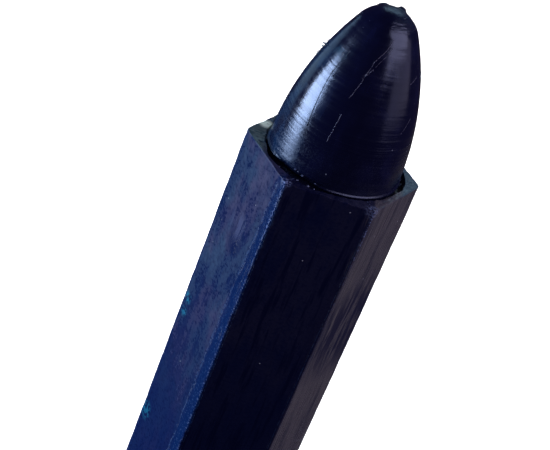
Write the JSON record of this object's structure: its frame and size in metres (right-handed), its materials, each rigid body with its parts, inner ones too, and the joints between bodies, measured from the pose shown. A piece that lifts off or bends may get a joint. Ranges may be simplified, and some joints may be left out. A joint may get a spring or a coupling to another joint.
{
  "type": "marking crayon",
  "caption": "Hexagonal marking crayon: a round wax core with a bullet nose slides in a hexagonal barrel closed by a rear plug.",
  "frame": {"origin": "centre of the barrel's rear face, which the crayon stands on", "axes": "+Z along the crayon from its rear end to the tip of the nose; two corners of the hexagon lie on +X and -X, and two flats face +Y and -Y"},
  "size_m": [0.0138, 0.012, 0.12],
  "materials": {
    "barrel_wax": "hard dark-blue wax compound, dull, with a cloudy bloom and rubbed edges",
    "core_wax": "soft dark-blue wax, burnished to a satin gloss",
    "plug_wax": "hard dark-blue wax compound, dull"
  },
  "bodies": {
    "barrel": {"hex_barrel": "barrel_wax", "rear_plug": "plug_wax"},
    "core": {"wax_core": "core_wax"}
  },
  "joints": [
    {"name": "core_slide", "type": "slide", "parent": "barrel", "child": "core", "axis": [0, 0, 1], "range_m": [0, 0.06]}
  ]
}
